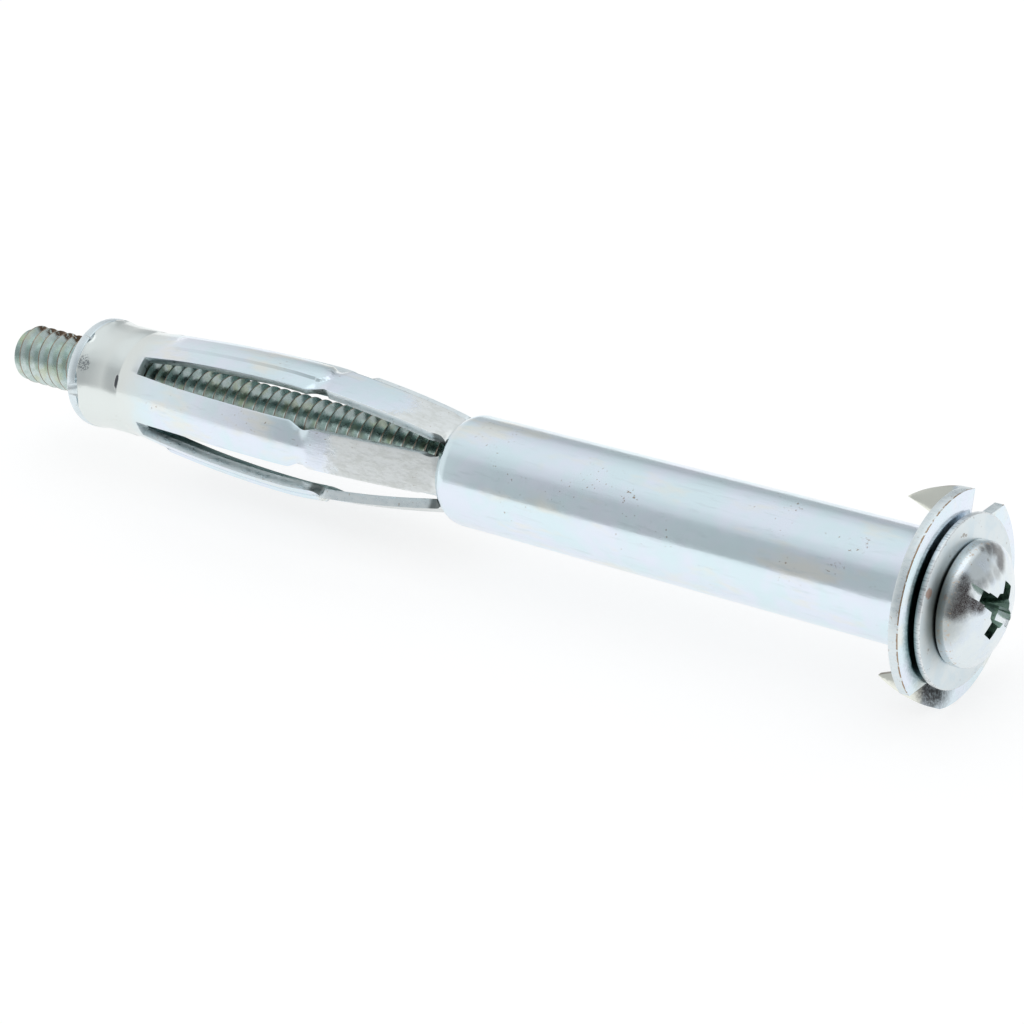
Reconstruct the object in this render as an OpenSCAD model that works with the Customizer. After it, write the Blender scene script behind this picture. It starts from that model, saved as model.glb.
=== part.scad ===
// Hollow wall anchor, unset: a formed sleeve with five folding legs, a threaded
// bush in its far end, a dished washer and a pan-head screw with a slotted cross recess.
// Millimetres. The axis runs along X with the screw head at +X and +Z up, and
// the origin is the centre of the flange's back face, the one that meets the wall.

/* [Sleeve] */
// Outside diameter of the plain tube
tube_d = 8.5; // [8.2:0.1:9.4]
// Thickness of the sheet that the sleeve is formed from
wall = 0.75; // [0.6:0.05:0.85]
// Length of the plain tube, from the flange's back face to its shoulder
tube_len = 40.4; // [20:0.5:60]
// Outside radius of the shoulder that necks the tube in
shoulder_r = 1.6; // [1.4:0.1:1.8]

/* [Flange] */
// Diameter of the flange
flange_d = 15.5; // [14.5:0.1:18]
// Radius that rounds the mouth of the tube
mouth_r = 0.9; // [0.8:0.05:1]
// Break on the flange's outer edges
rim_break = 0.15; // [0.05:0.05:0.25]
// Radius inside the bend behind the flange
root_r = 0.2; // [0.1:0.05:0.4]
// Radius at which each barb's notch starts
notch_root_r = 4.8; // [4.75:0.05:5.4]
// How far back each barb reaches from the flange's back face
barb_len = 3.7; // [2.5:0.1:4.5]
// Turn of the two barbs about the axis, from straight down
barb_clock = -25.5; // [-60:0.5:30]

/* [Legs] */
// Number of folding legs
leg_count = 5; // [3:1:5]
// Turn of the first leg about the axis, from straight down
leg_clock = -36; // [-60:1:60]
// Length of each flattened stretch, from the neck to the fold
flat_len = 11.8; // [8:0.2:16]
// Length of each curved stretch, from the fold to the cup
bow_len = 18; // [14:0.5:24]
// Radius of the legs' outer faces where they leave the neck
neck_r = 3.5; // [3.4:0.05:3.6]
// How far the legs' outer faces lie over the end of the shoulder
neck_lap = 0.12; // [0.08:0.01:0.2]
// Radius of the legs' outer faces at the fold
fold_r = 5.15; // [4.9:0.05:5.6]
// Radius of the legs' outer faces at the crest of their bow
bow_r = 5.35; // [5.1:0.05:5.8]
// Distance from the fold to the crest of the bow
crest_back = 3.7; // [2:0.1:5]
// Width of a leg's curved stretch
bow_w = 3.65; // [3:0.05:3.8]
// Width of a leg's flattened stretch
flat_w = 3.1; // [2.6:0.05:3.3]
// Depth of the small notches where a leg folds
hinge_notch = 0.35; // [0.2:0.05:0.5]
// Half the length of each of those notches
hinge_run = 0.9; // [0.5:0.1:1.2]
// Width of the rib pressed into a leg's curved stretch
rib_w = 1.5; // [1:0.1:2]
// Height of that rib
rib_h = 0.12; // [0.05:0.01:0.2]
// Plain length left at each end of the rib
rib_end = 2; // [1:0.1:4]

/* [Cup] */
// Length of the plain ring between the slots and the cup
ring_len = 2; // [1.5:0.1:3]
// Length of the cup that holds the bush
cup_len = 4.3; // [4:0.1:6]
// How far the cup stands out beyond the tube
cup_step = 0.05; // [0.02:0.01:0.1]
// How far its lip stands out beyond the cup
lip_step = 0.17; // [0.05:0.01:0.25]
// Length of the lip
lip_len = 0.9; // [0.5:0.1:1.5]

/* [Bush] */
// Thickness of the bush's collar
collar_t = 1.1; // [0.7:0.1:1.6]
// Rounding of the collar's outer edge
collar_r = 0.5; // [0.3:0.05:0.6]
// Gap between the collar and the cup's lip
collar_gap = 0.05; // [0.03:0.01:0.1]
// Radial gap between the bush and the inside of the cup
bush_gap = 0.03; // [0.02:0.01:0.05]

/* [Screw] */
// Outside diameter of the thread
screw_d = 4.7; // [4.5:0.05:4.8]
// Distance from one crest of the thread to the next
pitch = 1.058; // [0.9:0.001:1.3]
// Radial running clearance of the screw in the bush
screw_gap = 0.05; // [0.03:0.01:0.08]
// Length of the screw under its head
screw_len = 88.9; // [85:0.1:100]
// Break at the screw's tip
tip_break = 0.4; // [0.2:0.05:0.8]
// Diameter of the pan head
head_d = 8.9; // [8.6:0.1:9.4]
// Height of the pan head
head_h = 2.55; // [2.4:0.05:3.2]
// Height of the head's straight side
head_side = 0.6; // [0.4:0.05:0.8]
// Radius that blends the side into the dome
head_blend = 0.7; // [0.4:0.05:1]
// Depth of the cross recess
recess_depth = 1.8; // [1.4:0.05:1.9]
// Tip-to-tip width of the cross recess, level with the top of the dome
recess_w = 4.4; // [4:0.1:5]
// Thickness of each arm of the cross recess
recess_arm = 1.05; // [0.8:0.05:1.2]
// Width of the recess's round core, where it opens
recess_core = 3; // [2:0.1:3.4]
// Turn of the cross recess and its slot about the axis
recess_clock = 37.5; // [0:0.5:89]
// Width of the slot that runs right across the head along two of the arms
slot_w = 0.86; // [0.7:0.02:1]
// Depth of that slot
slot_depth = 1.04; // [0.7:0.02:1.3]

/* [Washer] */
// Diameter of the washer
washer_d = 12.4; // [11.5:0.1:14]
// Thickness of the washer
washer_t = 0.45; // [0.35:0.05:0.6]
// Diameter of the washer's hole
washer_hole_d = 5; // [4.9:0.05:5.2]
// Height of the washer's dish, from its rim to its hole
washer_dish = 0.16; // [0.05:0.01:0.3]
// Play between the flange and the washer's rim before the anchor is set
washer_play = 0.2; // [0.1:0.05:0.3]
// Play between the washer and the underside of the head
head_play = 0.05; // [0.02:0.01:0.1]

/* [Hidden] */
$fn = 96;
arc_steps = 6;
// How far a cut or a joining stretch runs past the place where it ends
over = 0.6;
// Depth and radius of the recess's blunt tip
recess_tip = 0.35;
// Section of the thread, in pitches: its depth, and half the flats on its crest and in its root
thread_depth = 0.613;
crest_flat = 0.0625;
root_flat = 0.08;

tube_r = tube_d / 2;
bore_r = tube_r - wall;
flange_r = flange_d / 2;
screw_r = screw_d / 2;
thread_bore_r = screw_r + screw_gap;

// A barb is cut from the flange, so its length along the rim is what it reaches back
barb_reach = barb_len + wall;
barb_tip_r = sqrt(pow(flange_r, 2) - pow(barb_reach, 2));

// The shoulder turns in until it lies just under the legs
shoulder_arc = acos((neck_r - neck_lap - (tube_r - shoulder_r)) / shoulder_r);
neck_z = -tube_len - shoulder_r * sin(shoulder_arc);
fold_z = neck_z - flat_len;
slot_end_z = fold_z - bow_len;
cup_z = slot_end_z - ring_len;
lip_z = cup_z - cup_len + lip_len;
end_z = cup_z - cup_len;
collar_z = end_z - collar_gap;

crest_z = fold_z - crest_back;
bow_span = crest_z - slot_end_z;
bow_drop = bow_r - tube_r;
bow_curve_r = (pow(bow_span, 2) + pow(bow_drop, 2)) / (2 * bow_drop);

cup_r = tube_r + cup_step;
lip_r = cup_r + lip_step;
bush_r = bore_r - bush_gap;

washer_z = wall + washer_play;
head_z = washer_z + washer_t + washer_dish + head_play;
dome_z = head_z + head_h;
tip_z = head_z - screw_len;

// The first crest follows the break at the tip, and the last one runs on into the head
thread_root_r = screw_r - thread_depth * pitch;
first_crest_z = tip_z + tip_break + crest_flat * pitch;

// The dome is the arc that meets the head's blend smoothly and tops out at the head's height
head_r = head_d / 2;
blend_in = head_r - head_blend;
dome_rise = head_h - head_side;
dome_r = (pow(dome_rise, 2) + pow(blend_in, 2) - pow(head_blend, 2)) / (2 * (dome_rise - head_blend));

// Points along an arc about c, from angle a0 to angle a1
function arc(c, r, a0, a1, n = arc_steps) =
    [for (i = [0:n]) let (a = a0 + (a1 - a0) * i / n) [c[0] + r * cos(a), c[1] + r * sin(a)]];

// Outer radius of a leg's bowed stretch at the height z
function bow_at(z) = bow_r - bow_curve_r + sqrt(pow(bow_curve_r, 2) - pow(z - crest_z, 2));

// Outer radius of a leg's flattened stretch at the height z
function flat_at(z) = neck_r + (fold_r - neck_r) * (neck_z - z) / flat_len;

// Turns a shape built about Z so that it lies along X, with its top towards the head
module along_x() {
    rotate([0, 90, 0]) children();
}

// Repeats a shape evenly about the axis
module ring_of(count, clock) {
    for (i = [0:count - 1]) rotate([0, 0, clock + i * 360 / count]) children();
}

// Flange, plain tube and necked shoulder, as one turned wall
module barrel() {
    rotate_extrude()
        polygon(concat(
            arc([tube_r - shoulder_r, -tube_len], shoulder_r - wall, -shoulder_arc, 0),
            arc([bore_r + mouth_r, wall - mouth_r], mouth_r, 180, 90),
            arc([flange_r - rim_break, wall - rim_break], rim_break, 90, 0, 2),
            arc([flange_r - rim_break, rim_break], rim_break, 0, -90, 2),
            arc([tube_r + root_r, -root_r], root_r, 90, 180, 3),
            arc([tube_r - shoulder_r, -tube_len], shoulder_r, 0, -shoulder_arc)
        ));
}

// The wedge that each barb leaves open in the flange, and the barb's flat blank:
// one side is the bend and the other runs from the notch's root to the barb's tip
module barb_wedge() {
    far = 2 * barb_reach;
    polygon([
        [notch_root_r, 0],
        [flange_r + far, 0],
        [flange_r + far, -far],
        [2 * barb_tip_r - notch_root_r, -far]
    ]);
}

// One barb: the wedge folded straight back through a right angle
module barb() {
    translate([0, wall, wall])
        rotate([90, 0, 0])
            linear_extrude(wall)
                intersection() {
                    barb_wedge();
                    circle(flange_r);
                }
}

// The wedge, cut right through the flange
module flange_notch() {
    translate([0, 0, -over]) linear_extrude(wall + 2 * over) barb_wedge();
}

// Plan of a leg: u runs along the axis and v across the leg
module leg_outline() {
    half_bow = bow_w / 2;
    half_flat = flat_w / 2;
    fold_half = half_flat - hinge_notch / 2;
    neck_half = half_flat - hinge_notch;
    notch_z = neck_z + over / 2;
    side = [
        [slot_end_z - over, half_bow],
        [fold_z - 2 * hinge_run, half_bow],
        [fold_z, fold_half],
        [fold_z + hinge_run, half_flat],
        [notch_z - 2 * hinge_run, half_flat],
        [notch_z - hinge_run, neck_half],
        [notch_z, half_flat],
        [neck_z + 2 * over, half_flat]
    ];
    polygon(concat(side, [for (i = [len(side) - 1:-1:0]) [side[i][0], -side[i][1]]]));
}

// Everything over and under the plan, out to radius r
module leg_column(r) {
    translate([r, 0, 0]) rotate([0, -90, 0]) linear_extrude(r) leg_outline();
}

// Rib pressed out of a leg's bowed stretch, pointed towards the fold
module rib_column() {
    half = rib_w / 2;
    low = slot_end_z + rib_end;
    high = fold_z - rib_end;
    translate([bow_r + over, 0, 0])
        rotate([0, -90, 0])
            linear_extrude(bow_r)
                polygon([[low, -half], [low, half], [high - half, half], [high, 0], [high - half, -half]]);
}

// Outer face of the bow, from the slots' end to just past the fold, moved outwards by grow
function bow_face(grow = 0) = let (top = fold_z + over, steps = 2 * arc_steps)
    [for (i = [0:steps]) let (z = slot_end_z + (top - slot_end_z) * i / steps)
        [min(bow_at(z), z > fold_z ? flat_at(z) : bow_at(z)) + grow, z]];

// The same points, moved inwards by the wall and taken the other way
function under(face) = [for (i = [len(face) - 1:-1:0]) [face[i][0] - wall, face[i][1]]];

// Turned wall of the bow, the ring past the slots, the stepped cup and its lip
module far_wall() {
    rotate_extrude()
        polygon(concat(
            [
                [bore_r, end_z],
                [lip_r, end_z],
                [lip_r, lip_z - lip_step],
                [cup_r, lip_z],
                [cup_r, cup_z],
                [tube_r, cup_z + cup_step]
            ],
            bow_face(),
            under(bow_face())
        ));
}

// Rib on one leg: the bow's wall moved outwards inside the rib's plan
module rib() {
    intersection() {
        rib_column();
        rotate_extrude() polygon(concat(bow_face(rib_h), under(bow_face(rib_h))));
    }
}

// Flattened stretch, from inside the shoulder to just past the fold
module flat_wall() {
    top = neck_z + over;
    low = fold_z - over;
    intersection() {
        leg_column(bow_r + over);
        translate([0, bow_w / 2, 0])
            rotate([90, 0, 0])
                linear_extrude(bow_w)
                    polygon([
                        [flat_at(top), top],
                        [flat_at(low), low],
                        [flat_at(low) - wall, low],
                        [flat_at(top) - wall, top]
                    ]);
    }
}

// Bowed stretches of the legs and the cup that they end in
module bows_and_cup() {
    intersection() {
        far_wall();
        union() {
            ring_of(leg_count, leg_clock) leg_column(bow_r + over);
            translate([0, 0, end_z - over]) cylinder(h = slot_end_z - end_z + over, r = bow_r + over);
        }
    }
}

module sleeve() {
    color([0.80, 0.85, 0.89])
        along_x() {
            difference() {
                barrel();
                ring_of(2, barb_clock) flange_notch();
            }
            ring_of(2, barb_clock) barb();
            ring_of(leg_count, leg_clock) {
                flat_wall();
                rib();
            }
            bows_and_cup();
        }
}

module threaded_bush() {
    color([0.66, 0.70, 0.72])
        along_x()
            rotate_extrude()
                polygon(concat(
                    [[thread_bore_r, cup_z], [bush_r, cup_z], [bush_r, collar_z], [lip_r, collar_z]],
                    arc([lip_r - collar_r, collar_z - collar_t + collar_r], collar_r, 0, -90, 4),
                    [[thread_bore_r, collar_z - collar_t]]
                ));
}

module washer() {
    color([0.72, 0.76, 0.76])
        along_x()
            rotate_extrude()
                polygon([
                    [washer_hole_d / 2, washer_z + washer_dish],
                    [washer_d / 2, washer_z],
                    [washer_d / 2, washer_z + washer_t],
                    [washer_hole_d / 2, washer_z + washer_t + washer_dish]
                ]);
}

// Half section of the pan head
module head_section() {
    side_z = head_z + head_side;
    lean = asin(blend_in / (dome_r - head_blend));
    polygon(concat(
        [[0, head_z], [head_r, head_z]],
        arc([blend_in, side_z], head_blend, 0, 90 - lean),
        arc([0, dome_z - dome_r], dome_r, 90 - lean, 90)
    ));
}

// Driver recess: a slot right across the head, two crossing arms that narrow with
// depth, and a blunt cone that runs a little deeper
module driver_recess() {
    floor_z = dome_z - recess_depth;
    mouth = recess_w / 2 + over * (recess_w / 2 - recess_arm) / recess_depth;
    rotate([0, 0, recess_clock]) {
        for (turn = [0, 90]) rotate([0, 0, turn])
            rotate([90, 0, 0])
                translate([0, 0, -recess_arm / 2])
                    linear_extrude(recess_arm)
                        polygon([
                            [-mouth, dome_z + over],
                            [-recess_arm, floor_z],
                            [recess_arm, floor_z],
                            [mouth, dome_z + over]
                        ]);
        translate([0, 0, floor_z - recess_tip])
            cylinder(h = recess_depth + recess_tip + over, r1 = recess_tip, r2 = recess_core / 2);
        translate([-head_r - over, -slot_w / 2, dome_z - slot_depth])
            cube([head_d + 2 * over, slot_w, slot_depth + over]);
    }
}

// Half section of the threaded rod, whose thread is drawn as one ring for each pitch
module rod_section() {
    turns = floor((head_z - first_crest_z) / pitch);
    ring = [
        [screw_r, -crest_flat],
        [screw_r, crest_flat],
        [thread_root_r, 0.5 - root_flat],
        [thread_root_r, 0.5 + root_flat]
    ];
    polygon(concat(
        [[0, tip_z], [screw_r - tip_break, tip_z]],
        [for (i = [0:turns - 1]) for (p = ring) [p[0], first_crest_z + (i + p[1]) * pitch]],
        [[screw_r, first_crest_z + (turns - crest_flat) * pitch], [screw_r, head_z + over], [0, head_z + over]]
    ));
}

module screw() {
    color([0.52, 0.60, 0.58])
        along_x()
            difference() {
                union() {
                    rotate_extrude() head_section();
                    rotate_extrude() rod_section();
                }
                driver_recess();
            }
}

sleeve();
threaded_bush();
washer();
screw();
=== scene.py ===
"""Looks of an unset hollow wall anchor in zinc-plated steel.

Each piece is modelled in millimetres about the Z axis, with the screw head at the top
and the wall at z = 0. It is then laid along X and scaled to metres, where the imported
part has the same piece. Angles about the axis are counted from straight down.
"""
import math
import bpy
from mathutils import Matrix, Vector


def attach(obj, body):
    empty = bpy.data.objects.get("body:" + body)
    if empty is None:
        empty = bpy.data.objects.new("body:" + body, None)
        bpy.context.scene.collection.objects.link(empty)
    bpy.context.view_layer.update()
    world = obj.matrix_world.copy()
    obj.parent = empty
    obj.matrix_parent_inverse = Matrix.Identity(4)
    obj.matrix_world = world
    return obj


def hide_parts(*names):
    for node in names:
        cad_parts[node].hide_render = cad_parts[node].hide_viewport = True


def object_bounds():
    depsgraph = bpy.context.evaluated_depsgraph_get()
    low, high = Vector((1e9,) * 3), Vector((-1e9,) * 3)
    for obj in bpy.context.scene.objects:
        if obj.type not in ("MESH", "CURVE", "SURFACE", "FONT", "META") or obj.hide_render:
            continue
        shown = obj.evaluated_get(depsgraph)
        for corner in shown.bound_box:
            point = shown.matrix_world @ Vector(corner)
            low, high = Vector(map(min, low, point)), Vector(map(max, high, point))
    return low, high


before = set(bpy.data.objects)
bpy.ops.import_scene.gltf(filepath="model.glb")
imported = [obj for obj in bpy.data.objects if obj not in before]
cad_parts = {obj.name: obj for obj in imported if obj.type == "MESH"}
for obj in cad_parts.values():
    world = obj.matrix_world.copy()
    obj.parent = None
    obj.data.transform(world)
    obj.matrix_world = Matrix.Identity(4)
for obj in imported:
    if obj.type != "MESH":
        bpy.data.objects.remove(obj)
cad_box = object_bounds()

from types import SimpleNamespace

import bmesh
import bpy
from bpy.props import FloatProperty, FloatVectorProperty, IntProperty, PointerProperty
from mathutils import Vector

bl_info = {
    "name": "Hollow Wall Anchor",
    "version": (1, 0, 0),
    "blender": (4, 5, 0),
    "location": "3D View > Sidebar > Anchor",
    "description": "Builds a zinc-plated hollow wall anchor and the studio it lies in",
    "category": "Object",
}

MM = 0.001
FULL_TURN = 2 * math.pi

# Every length below is in millimetres, and every angle in degrees.
# Points of a mesh closer than this are one point
SAME_PLACE = 0.002
# Vertices round a turned wall, and the turn from one to the next
RING_STEPS = 180
RING_STEP = FULL_TURN / RING_STEPS
# Radius of the hole at the axis that a turned solid leaves, filled afterwards
CORE_R = 0.3
# Numbers of the sleeve's materials, and of the screw's
OUTER_COAT, SHEARED_COAT, INNER_COAT, WORN_COAT = range(4)
THREAD_COAT, HEAD_COAT, DARK_COAT, CREST_COAT = range(4)

# Rows along a barb, and the share of its length that is drawn, so that its tip has a width
BARB_ROWS = 12
BARB_TIP = 0.985
# How far behind the flange the barbs' coat reaches, in lengths of a barb
BARB_COAT = 2
# How far the slots run up into the shoulder
SLOT_RISE = 0.75
# How many of the wall's steps half a leg covers at its two ends
LEG_HALF_STEPS = 13
# Rows of a leg: fine ones at the neck, then how many there are up to each next place
NECK_ROWS = 19
NECK_ROW = 0.12
FLAT_ROWS, FOLD_ROWS, BOW_ROWS = 12, 20, 30
# How far before and past the fold its own rows reach
FOLD_ROWS_BEFORE = 0.9
FOLD_ROWS_PAST = 2.1
# How far the flattened stretch bellies out, its roundness across where the neck's is 1,
# and the runs in which its two ends curl round
FLAT_BELLY = 0.2
FLAT_CURL = 0.1
NECK_CURL_RUN = 0.4
FOLD_CURL_RUN = 1.6
# Runs in which a leg changes its width: past the neck, before and past the fold, and
# the last share of the bow
NECK_WIDTH_RUN = 0.3
FOLD_WIDTH_BEFORE = 0.4
FOLD_WIDTH_PAST = 1.6
RING_WIDTH_SHARE = 0.3
# Rounded notches in both edges of a leg, at the neck and at the fold: place, half, depth
HINGE_NOTCHES = [(0.6, 0.9, 0.16), (12.1, 1.2, 0.26)]
# Rib pressed out of a leg's bow: half its width, its height, and how far it stays off
# the fold and off the slots' far end
RIB_HALF = 0.78
RIB_H = 0.18
RIB_START = 0.1
RIB_END = 1.6
# How much narrower the ring is at its middle
RING_WAIST = 0.11
# Step from the ring to the cup: how far inside the cup's radius, and how far past its start
CUP_STEP = [(0.035, -0.12), (0.045, 0), (0, 0.15)]
# Flare of the lip: shares of its width and of its length
LIP_FLARE = [(0.35, 0.4), (0.8, 0.75)]
# Slits where the lip stands off the collar: middle and half width, and depth
LIP_SLITS = [(-102, 20, 0.26), (-160, 8, 0.24), (166, 6, 0.2), (146, 6, 0.2), (20, 10, 0.2)]
# Break on the sleeve's sharp edges, and the least angle that makes an edge sharp
SHEET_BREAK = 0.06
SHEET_SHARP = 40

# Play under the washer and under the head, how far the washer's rim is lifted, the
# rounding of its edges, and the gap between the lip and the collar
WASHER_PLAY = 0.2
HEAD_PLAY = 0.05
RIM_LIFT = 0.06
WASHER_EDGE = 0.09
COLLAR_GAP = 0.05
# Rounding of the collar's inner face, and the bevel at the mouth of its bore
COLLAR_BACK = 0.1
BORE_BEVEL = 0.25
# Steps round the thread, its depth in pitches, and how far down from the crest its dark coat
# reaches
THREAD_STEPS = 36
THREAD_DEPTH = 0.613
CREST_BAND = 0.03
# How far the screw's thread and its blank run up into the head, how much wider than the
# thread the blank is, and how far inside the thread's crests the head's underside ends
THREAD_IN_HEAD = 0.5
BLANK_IN_HEAD = 1.5
BLANK_OVER = 0.1
UNDERSIDE_IN = 0.4
# Radius of the hole at the top of the dome, filled afterwards, and the break under the head
DOME_TOP_R = 0.25
HEAD_BREAK = 0.12
# How far the recess's cutter stands over the head
CUTTER_OVER = 0.6
# Blunt core of the recess: radius at its mouth and at its floor, and how much deeper it is
CORE_MOUTH_R = 1.62
CORE_FLOOR_R = 0.34
CORE_DEEPER = 0.35
# Taper of a recess arm's thickness: shares of it at the mouth, and of that at the floor
ARM_MOUTH = 1.12
ARM_FLOOR = 0.72

# Pitted places on the tube: clock, radius, height and the two half sizes
PITS = [(-154, 4.25, -5.6, 0.9, 0.7), (-142, 4.25, -24.3, 0.8, 0.6),
        (-128, 4.25, -6.7, 0.8, 0.6), (-179, 4.25, -11.8, 0.8, 0.6)]
# Marks on the head, each a row of spots: clock, radius and the two half sizes. The dark wedge and
# the grey arcs are painted reflections, and the brown speck is a stain.
DARK_REFLECTION_WEDGE = [(-148, 4.3, 0.5, 0.55), (-140, 4.0, 0.8, 0.8), (-130, 3.8, 0.9, 0.95),
              (-121, 3.9, 0.9, 0.85), (-115, 4.2, 0.7, 0.6), (-128, 3.0, 0.8, 0.75),
              (-126, 2.4, 0.7, 0.5)]
GREY_REFLECTION_ARC = [(172, 4.45, 0.5, 0.35), (163, 4.3, 0.6, 0.55), (153, 4.1, 0.8, 0.7),
            (145, 3.9, 0.8, 0.65), (148, 3.5, 0.8, 0.6), (152, 3.1, 0.7, 0.55)]
FAINT_REFLECTION_ARC = [(167, 2.7, 0.6, 0.5), (-175, 2.7, 0.5, 0.45), (-161, 2.8, 0.5, 0.4),
             (-153, 3, 0.5, 0.4)]
BROWN_SPECK = [(173.6, 3.67, 0.2, 0.14)]
# How far the dome has dropped at its edge, as a share of its height over the straight side
DOME_DROP = 0.62

# How pale the floor is in its shadows, and the glow that makes it white to the eye
FLOOR_PAINT = 0.35
FLOOR_GLOW = 0.74
# Where the tent grows lighter beyond the screw's tip, and its light there
TIP_SIDE = (-0.565, -0.76)
TIP_LIGHT = 0.85
# The colour sockets of a Mix node
MIX_A, MIX_B, MIX_RESULT = 6, 7, 2


def length(name, description, default):
    """A length in metres, given in millimetres."""
    return FloatProperty(name=name, description=description, default=default * MM, min=0,
                         precision=5, subtype="DISTANCE", unit="LENGTH")


def angle(name, description, default):
    """An angle about the axis, given in degrees."""
    return FloatProperty(name=name, description=description, default=math.radians(default),
                         subtype="ANGLE", unit="ROTATION")


def colour(name, description, default):
    """A linear colour."""
    return FloatVectorProperty(name=name, description=description, default=default, size=3,
                               min=0, max=1, subtype="COLOR")


def in_mm(group):
    """The lengths of a property group in millimetres, and its other values as they are."""
    values = {}
    for prop in group.bl_rna.properties:
        if prop.identifier in ("rna_type", "name"):
            continue
        value = getattr(group, prop.identifier)
        values[prop.identifier] = value / MM if prop.unit == "LENGTH" else value
    return SimpleNamespace(**values)


# ---------------------------------------------------------------- sizes and colours

class AnchorSleeveSizes(bpy.types.PropertyGroup):
    """Sizes of the formed sleeve."""
    tube_d: length("Tube diameter", "Outside diameter of the plain tube", 8.5)
    wall: length("Sheet", "Thickness of the sheet", 0.75)
    tube_len: length("Tube length", "From the flange's back face to the shoulder", 40.4)
    shoulder_r: length("Shoulder", "Outside radius of the shoulder", 1.6)
    flange_d: length("Flange", "Diameter of the flange", 15.5)
    root_r: length("Flange root", "Radius inside the bend behind the flange", 0.2)
    notch_root_r: length("Notch root", "Radius at which a barb's notch starts", 4.8)
    barb_len: length("Barb", "Length of a barb past the flange's back face", 3.85)
    lower_fold: angle("Lower fold", "Angle that the lower barb is folded through", 72)
    upper_fold: angle("Upper fold", "Angle that the upper barb is folded through", 90)
    barb_clock: angle("Barbs' turn", "Turn of the barbs from straight down", -25.5)
    leg_count: IntProperty(name="Legs", description="Number of folding legs", default=5, min=3)
    leg_clock: angle("Legs' turn", "Turn of the first leg from straight down", -36)
    flat_len: length("Flat", "Length of a leg's flattened stretch", 11.8)
    bow_len: length("Bow", "Length of a leg's bowed stretch", 18)
    neck_r: length("Neck", "Radius of the legs where they leave the neck", 3.38)
    fold_r: length("Fold", "Radius of the legs at the fold", 5.08)
    bow_r: length("Crest", "Radius of the legs at the crest of the bow", 5.33)
    crest_back: length("Crest place", "Distance from the fold to the crest", 3.7)
    flat_w: length("Flat width", "Width of a leg's flattened stretch", 3.1)
    bow_w: length("Bow width", "Width of a leg's bowed stretch", 3.7)
    ring_len: length("Ring", "Length of the ring between the slots and the cup", 2)
    ring_r: length("Ring radius", "Radius of that ring where the slots end", 4.45)
    cup_len: length("Cup", "Length of the cup", 4.3)
    cup_r: length("Cup radius", "Outside radius of the cup", 4.3)
    lip_len: length("Lip", "Length of the cup's lip", 0.9)
    lip_r: length("Lip radius", "Outside radius of the lip", 4.47)


class AnchorScrewSizes(bpy.types.PropertyGroup):
    """Sizes of the screw, its bush and its washer."""
    screw_d: length("Thread", "Outside diameter of the thread", 4.7)
    pitch: length("Pitch", "Distance from one turn of the thread to the next", 1.058)
    screw_len: length("Length", "Length of the screw under its head", 88.9)
    tip_break: length("Tip", "Break at the screw's tip", 0.4)
    head_d: length("Head", "Diameter of the pan head", 8.9)
    head_h: length("Head height", "Height of the pan head", 2.55)
    head_side: length("Head side", "Height of the head's straight side", 0.6)
    head_blend: length("Head blend", "Radius between the side and the dome", 0.7)
    recess_depth: length("Recess", "Depth of the cross recess", 1.8)
    recess_w: length("Recess width", "Tip-to-tip width of the cross recess", 4.4)
    recess_arm: length("Recess arm", "Thickness of an arm of the recess", 1.05)
    recess_clock: angle("Recess turn", "Turn of the recess from straight down", 37.5)
    slot_w: length("Slot width", "Width of the slot right across the head", 0.86)
    slot_depth: length("Slot depth", "Depth of that slot under the top of the dome", 1.04)
    collar_t: length("Collar", "Thickness of the bush's collar", 1.1)
    collar_r: length("Collar edge", "Rounding of the collar's outer edge", 0.5)
    bush_gap: length("Bush gap", "Gap between the bush and the cup, all round", 0.03)
    thread_gap: length("Thread gap", "Gap between the bush and the thread, all round", 0.05)
    washer_d: length("Washer", "Diameter of the washer", 12.4)
    washer_t: length("Washer sheet", "Thickness of the washer", 0.45)
    washer_hole_d: length("Washer hole", "Diameter of the washer's hole", 5)
    washer_dish: length("Washer dish", "Height of the washer's dish", 0.16)


class AnchorColours(bpy.types.PropertyGroup):
    """Colours of the plating and its wear, and of the shade and reflections painted on it."""
    zinc: colour("Zinc", "Bright zinc plate on the sleeve", (0.78, 0.87, 0.92))
    coined: colour("Coined zinc", "Matte plate on the pressed stretches", (0.83, 0.86, 0.86))
    sheared: colour("Sheared edge", "Rough edge left by the press", (0.70, 0.78, 0.81))
    # Dark plate painted on the faces that look inwards, as the shade inside the sleeve
    inner: colour("Inner face", "Duller plate inside the sleeve", (0.24, 0.33, 0.34))
    screw: colour("Screw", "Greenish plate on the thread", (0.62, 0.71, 0.69))
    head: colour("Head", "Pale plate on the head", (0.78, 0.84, 0.86))
    washer: colour("Washer", "Satin plate on the washer", (0.74, 0.80, 0.82))
    bush: colour("Bush", "Turned plate on the bush", (0.74, 0.82, 0.86))
    # Green plate painted dark as the shade inside the driver recess
    recess: colour("Recess", "Dark green plate in the driver recess", (0.12, 0.18, 0.16))
    # Brown for real specks and stains, and the base of the crests painted dark as shade and of the
    # reflection painted near the screw's tip
    stain_and_shade: colour("Stain", "Brown specks and worn edges", (0.22, 0.16, 0.11))
    # Grey for real scuffs, and the base of the painted shade in the lower barb's notch and beside
    # the washer
    scuff_and_shade: colour("Scuff", "Grey scuffs on the plate", (0.33, 0.36, 0.37))
    # Painted reflections on the head: the dark wedge beside the slot, and the grey arcs in a
    # lighter tint
    reflection_dark: colour("Dark mark", "Dark rubbed marks on the head", (0.05, 0.04, 0.04))


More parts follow.
